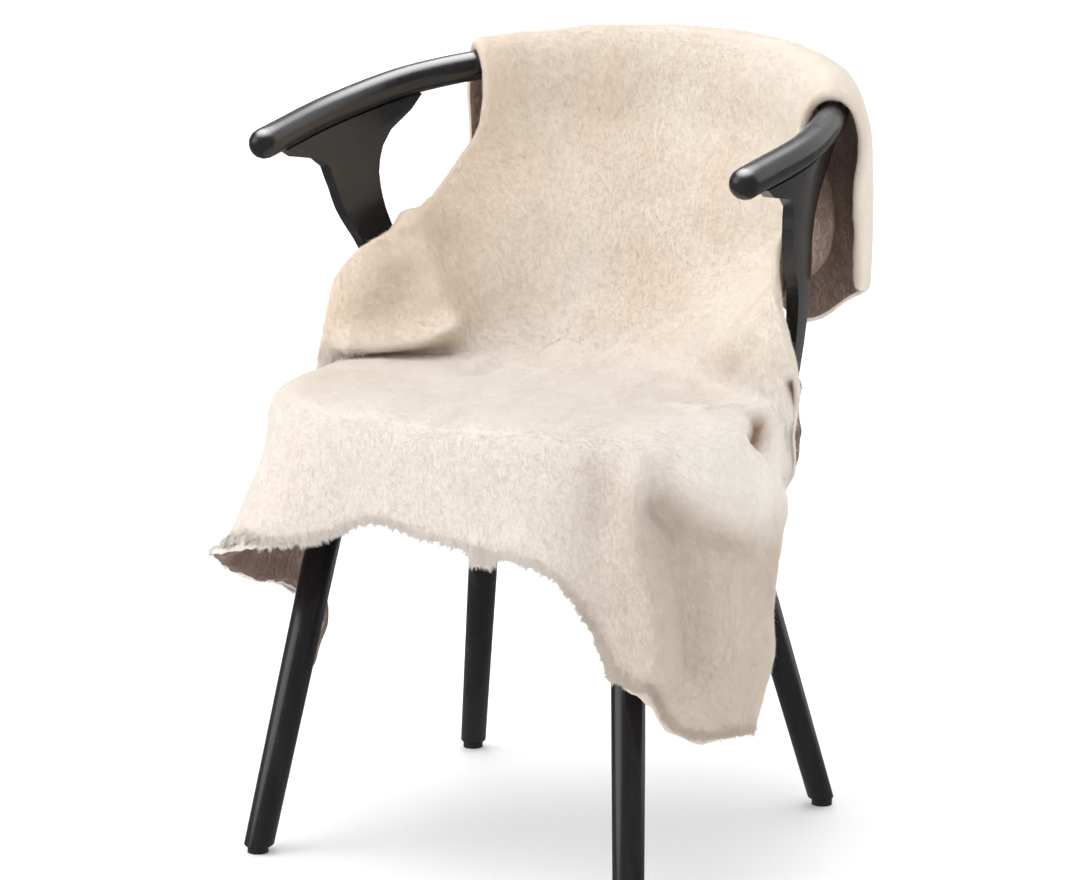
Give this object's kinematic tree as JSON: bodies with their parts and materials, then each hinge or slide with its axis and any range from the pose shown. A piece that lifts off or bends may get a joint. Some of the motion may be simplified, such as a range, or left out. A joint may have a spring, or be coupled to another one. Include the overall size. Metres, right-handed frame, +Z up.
{
  "type": "sheepskin throw on armchair",
  "caption": "A shorn cream sheepskin draped over a black wooden armchair with a bent top rail: down the back, over the seat and down its front and sides",
  "frame": {"origin": "on the floor under the middle of everything, the skin's overhang included", "axes": "+Z up, the chair faces -Y, +X to the chair's own left and the viewer's right"},
  "size_m": [0.5914, 0.6053, 0.786],
  "materials": {
    "wool": "short shorn sheep's wool, soft and matt, with the bare leather side showing at folds",
    "wood": "black stained wood under satin lacquer",
    "glide": "plain black moulded glides"
  },
  "bodies": {
    "root": {"sheepskin": "wool", "rail": "wood", "seat": "wood", "upright_left": "wood", "upright_right": "wood", "upright_back": "wood", "leg_front_left": "wood", "leg_front_right": "wood", "leg_rear_left": "wood", "leg_rear_right": "wood", "glide_front_left": "glide", "glide_front_right": "glide", "glide_rear_left": "glide", "glide_rear_right": "glide"}
  },
  "joints": []
}
